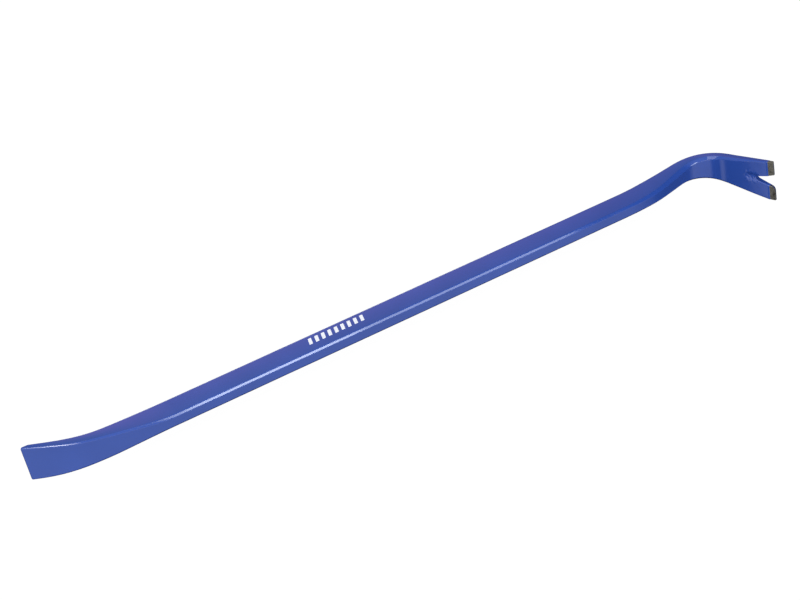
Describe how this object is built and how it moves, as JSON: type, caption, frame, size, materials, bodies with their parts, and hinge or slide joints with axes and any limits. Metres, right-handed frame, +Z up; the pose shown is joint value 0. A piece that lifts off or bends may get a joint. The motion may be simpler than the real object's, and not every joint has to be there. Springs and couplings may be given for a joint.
{
  "type": "pry bar",
  "caption": "Gooseneck pry bar of flat forged steel with a swept chisel blade at one end, a hooked V-slot nail claw at the other, blue enamel and bare ground tips.",
  "frame": {"origin": "centre of the bar's bounding box in plan, at the height of its lowest point: the bar lies flat on the sides of its blade and claw", "axes": "+X along the shank from the blade to the claw; the bar bends in the XY plane and the claw hooks towards -Y; +Z up, along the width of the blade and the claw"},
  "size_m": [0.6214, 0.0822, 0.0355],
  "materials": {
    "ground_steel": "forged and ground carbon steel, bare at the claw's tips and on the blade's bevel",
    "blue_enamel": "smooth medium-gloss blue enamel",
    "white_ink": "pad-printed white ink"
  },
  "bodies": {
    "root": {"forged_bar": "ground_steel", "enamel_coat": "blue_enamel", "printed_band": "white_ink"}
  },
  "joints": []
}
